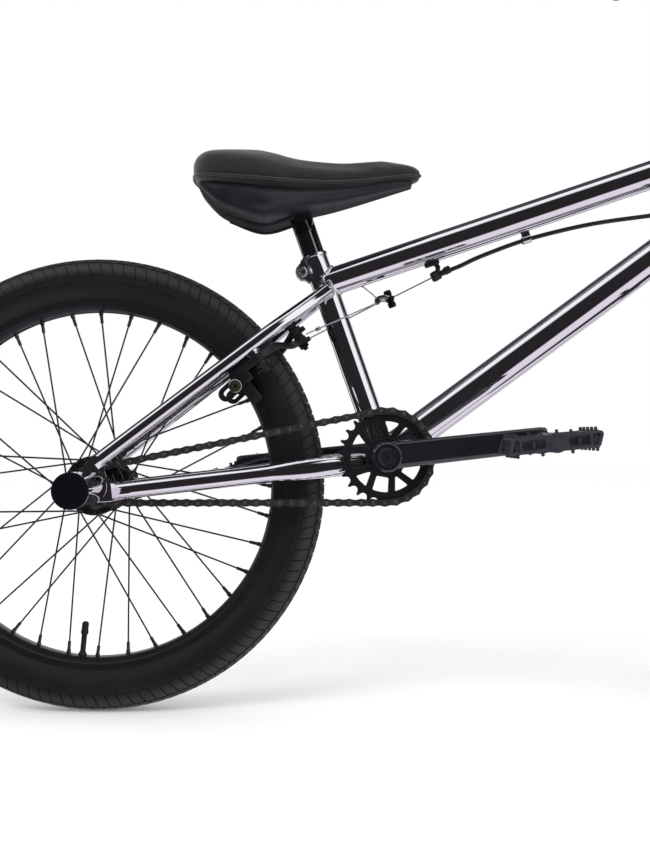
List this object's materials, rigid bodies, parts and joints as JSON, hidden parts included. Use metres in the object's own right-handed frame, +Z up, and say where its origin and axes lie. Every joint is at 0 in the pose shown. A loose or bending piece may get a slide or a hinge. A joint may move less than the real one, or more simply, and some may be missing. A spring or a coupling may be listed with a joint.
{
  "type": "bmx bike",
  "caption": "Freestyle bicycle with small wheels, a low chrome frame, tall handlebar, black cranks, platform pedals, axle pegs and a rear U-brake.",
  "frame": {"origin": "on the ground plane, midway between the two axles and in the bike's mid-plane", "axes": "+X forward along the wheelbase, +Y to the rider's left, +Z up"},
  "size_m": [1.3994, 0.7394, 0.9805],
  "materials": {
    "chrome": "mirror-bright plating on the frame and the handlebar",
    "black_metal": "satin black",
    "steel": "plain machined steel",
    "chain_steel": "dark oiled steel",
    "tyre_rubber": "matt black rubber",
    "grip_rubber": "matt black rubber",
    "black_plastic": "moulded black nylon",
    "cable_housing": "smooth black",
    "seat_fabric": "black woven cover"
  },
  "bodies": {
    "frame": {"head_tube": "chrome", "top_tube": "chrome", "down_tube": "chrome", "seat_tube": "chrome", "bb_shell": "chrome", "chainstay_left": "chrome", "chainstay_right": "chrome", "seatstay_left": "chrome", "seatstay_right": "chrome", "dropout_left": "chrome", "dropout_right": "chrome", "bb_bearing_left": "steel", "bb_bearing_right": "steel", "rear_peg_left": "chrome", "rear_peg_right": "chrome", "rear_axle": "steel", "chain": "chain_steel", "lower_brake_cable": "cable_housing", "headset_cup_lower": "steel", "headset_cup_upper": "steel"},
    "seat_post": {"seat_post": "black_metal"},
    "seat": {"seat_base": "black_plastic", "seat_pad": "seat_fabric"},
    "rear_wheel": {"rear_tyre": "tyre_rubber", "rear_rim": "black_metal", "rear_spokes": "steel", "rear_hub": "black_metal"},
    "driver": {"rear_driver": "black_metal"},
    "crank": {"crank_spindle": "steel", "sprocket": "black_metal", "crank_arm_left": "black_metal", "crank_arm_right": "black_metal", "pedal_axle_left": "steel", "pedal_axle_right": "steel"},
    "pedal_left": {"pedal_left": "black_plastic"},
    "pedal_right": {"pedal_right": "black_plastic"},
    "steering": {"fork_steerer": "black_metal", "fork_leg_left": "black_metal", "fork_leg_right": "black_metal", "stem": "black_metal", "stem_face_plate": "black_metal", "handlebar": "chrome", "handlebar_crossbar": "chrome", "grip_left": "grip_rubber", "grip_right": "grip_rubber", "lever_bracket": "black_metal", "rotor_top_plate": "black_metal", "upper_brake_cable": "cable_housing", "front_axle": "steel", "front_peg_left": "chrome", "front_peg_right": "chrome"},
    "brake_lever": {"brake_lever": "black_metal"},
    "rotor": {"rotor_bearing": "black_metal"},
    "front_wheel": {"front_tyre": "tyre_rubber", "front_rim": "black_metal", "front_spokes": "steel", "front_hub": "black_metal"},
    "brake_arm_left": {"brake_arm_left": "black_metal"},
    "brake_arm_right": {"brake_arm_right": "black_metal"},
    "yoke": {"straddle_hanger": "steel"}
  },
  "joints": [
    {"name": "steering_turn", "type": "hinge", "parent": "frame", "child": "steering", "pos_m": [0.30744, 0, 0.62462], "axis": [-0.2672, 0, 0.9636], "continuous": true},
    {"name": "front_wheel_spin", "type": "hinge", "parent": "steering", "child": "front_wheel", "pos_m": [0.444, 0, 0.2557], "axis": [0, 1, 0], "continuous": true},
    {"name": "rear_wheel_spin", "type": "hinge", "parent": "frame", "child": "rear_wheel", "pos_m": [-0.444, 0, 0.2557], "axis": [0, 1, 0], "continuous": true},
    {"name": "crank_spin", "type": "hinge", "parent": "frame", "child": "crank", "pos_m": [-0.1204, 0, 0.288], "axis": [0, 1, 0], "continuous": true},
    {"name": "driver_spin", "type": "hinge", "parent": "frame", "child": "driver", "pos_m": [-0.444, 0, 0.2557], "axis": [0, 1, 0], "continuous": true},
    {"name": "pedal_right_spin", "type": "hinge", "parent": "crank", "child": "pedal_right", "pos_m": [0.04378, -0.13, 0.30439], "axis": [0, 1, 0], "continuous": true},
    {"name": "pedal_left_spin", "type": "hinge", "parent": "crank", "child": "pedal_left", "pos_m": [-0.28458, 0.13, 0.27161], "axis": [0, 1, 0], "continuous": true},
    {"name": "seat_post_slide", "type": "slide", "parent": "frame", "child": "seat_post", "axis": [-0.3305, 0, 0.9438], "range_m": [-0.02, 0.06]},
    {"name": "seat_tilt", "type": "hinge", "parent": "seat_post", "child": "seat", "pos_m": [-0.21346, 0, 0.55371], "axis": [0, 1, 0], "range_deg": [-8, 8]},
    {"name": "brake_lever_pull", "type": "hinge", "parent": "steering", "child": "brake_lever", "pos_m": [0.28494, -0.214, 0.96395], "axis": [0.2672, 0, -0.9636], "range_deg": [0, 18], "stiffness_Nm_per_rad": 0.5, "springref_deg": -20.05},
    {"name": "brake_arm_left_swing", "type": "hinge", "parent": "frame", "child": "brake_arm_left", "pos_m": [-0.2721, 0.042, 0.4082], "axis": [-0.6074, 0, 0.7944], "range_deg": [0, 4.3]},
    {"name": "brake_arm_right_swing", "type": "hinge", "parent": "frame", "child": "brake_arm_right", "pos_m": [-0.2721, -0.042, 0.4082], "axis": [0.6074, 0, -0.7944], "range_deg": [0, 4.3]},
    {"name": "yoke_pull", "type": "slide", "parent": "frame", "child": "yoke", "axis": [0.8944, 0, 0.4472], "range_m": [0, 0.0045]},
    {"name": "rotor_lift", "type": "slide", "parent": "frame", "child": "rotor", "axis": [-0.2672, 0, 0.9636], "range_m": [0, 0.005]}
  ],
  "couplings": [
    {"joint": "driver_spin", "follows": "crank_spin", "ratio": 2.7778},
    {"joint": "brake_arm_left_swing", "follows": "brake_lever_pull", "ratio": 0.23886},
    {"joint": "brake_arm_right_swing", "follows": "brake_lever_pull", "ratio": 0.23886},
    {"joint": "yoke_pull", "follows": "brake_lever_pull", "m_per_rad": 0.014323},
    {"joint": "rotor_lift", "follows": "brake_lever_pull", "m_per_rad": 0.015914}
  ]
}
